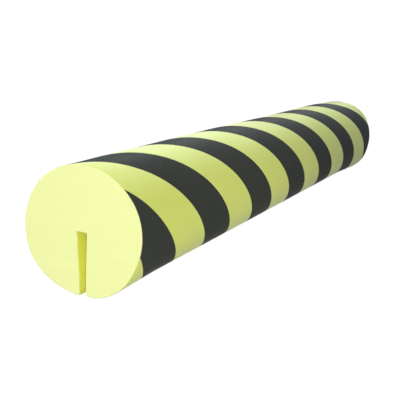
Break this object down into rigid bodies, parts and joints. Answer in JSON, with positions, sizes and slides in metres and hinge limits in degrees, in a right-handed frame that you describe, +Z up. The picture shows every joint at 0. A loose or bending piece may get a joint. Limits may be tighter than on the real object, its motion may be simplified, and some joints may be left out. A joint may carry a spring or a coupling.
{
  "type": "impact protection strip",
  "caption": "Round soft foam strip with slanting black warning bands and a slot from below that pushes onto the edge of a plate.",
  "frame": {"origin": "centre of the flat under the strip, midway between its ends", "axes": "+Y along the strip from its front end to its rear end, +Z up from the slot's mouth to the crown, +X to the right seen from the front end"},
  "size_m": [0.1006, 0.7, 0.0998],
  "materials": {
    "foam": "soft yellow-lime foam with a smooth matt skin",
    "print": "matt black print on the foam skin"
  },
  "bodies": {
    "root": {"foam_profile": "foam", "warning_bands": "print"}
  },
  "joints": []
}
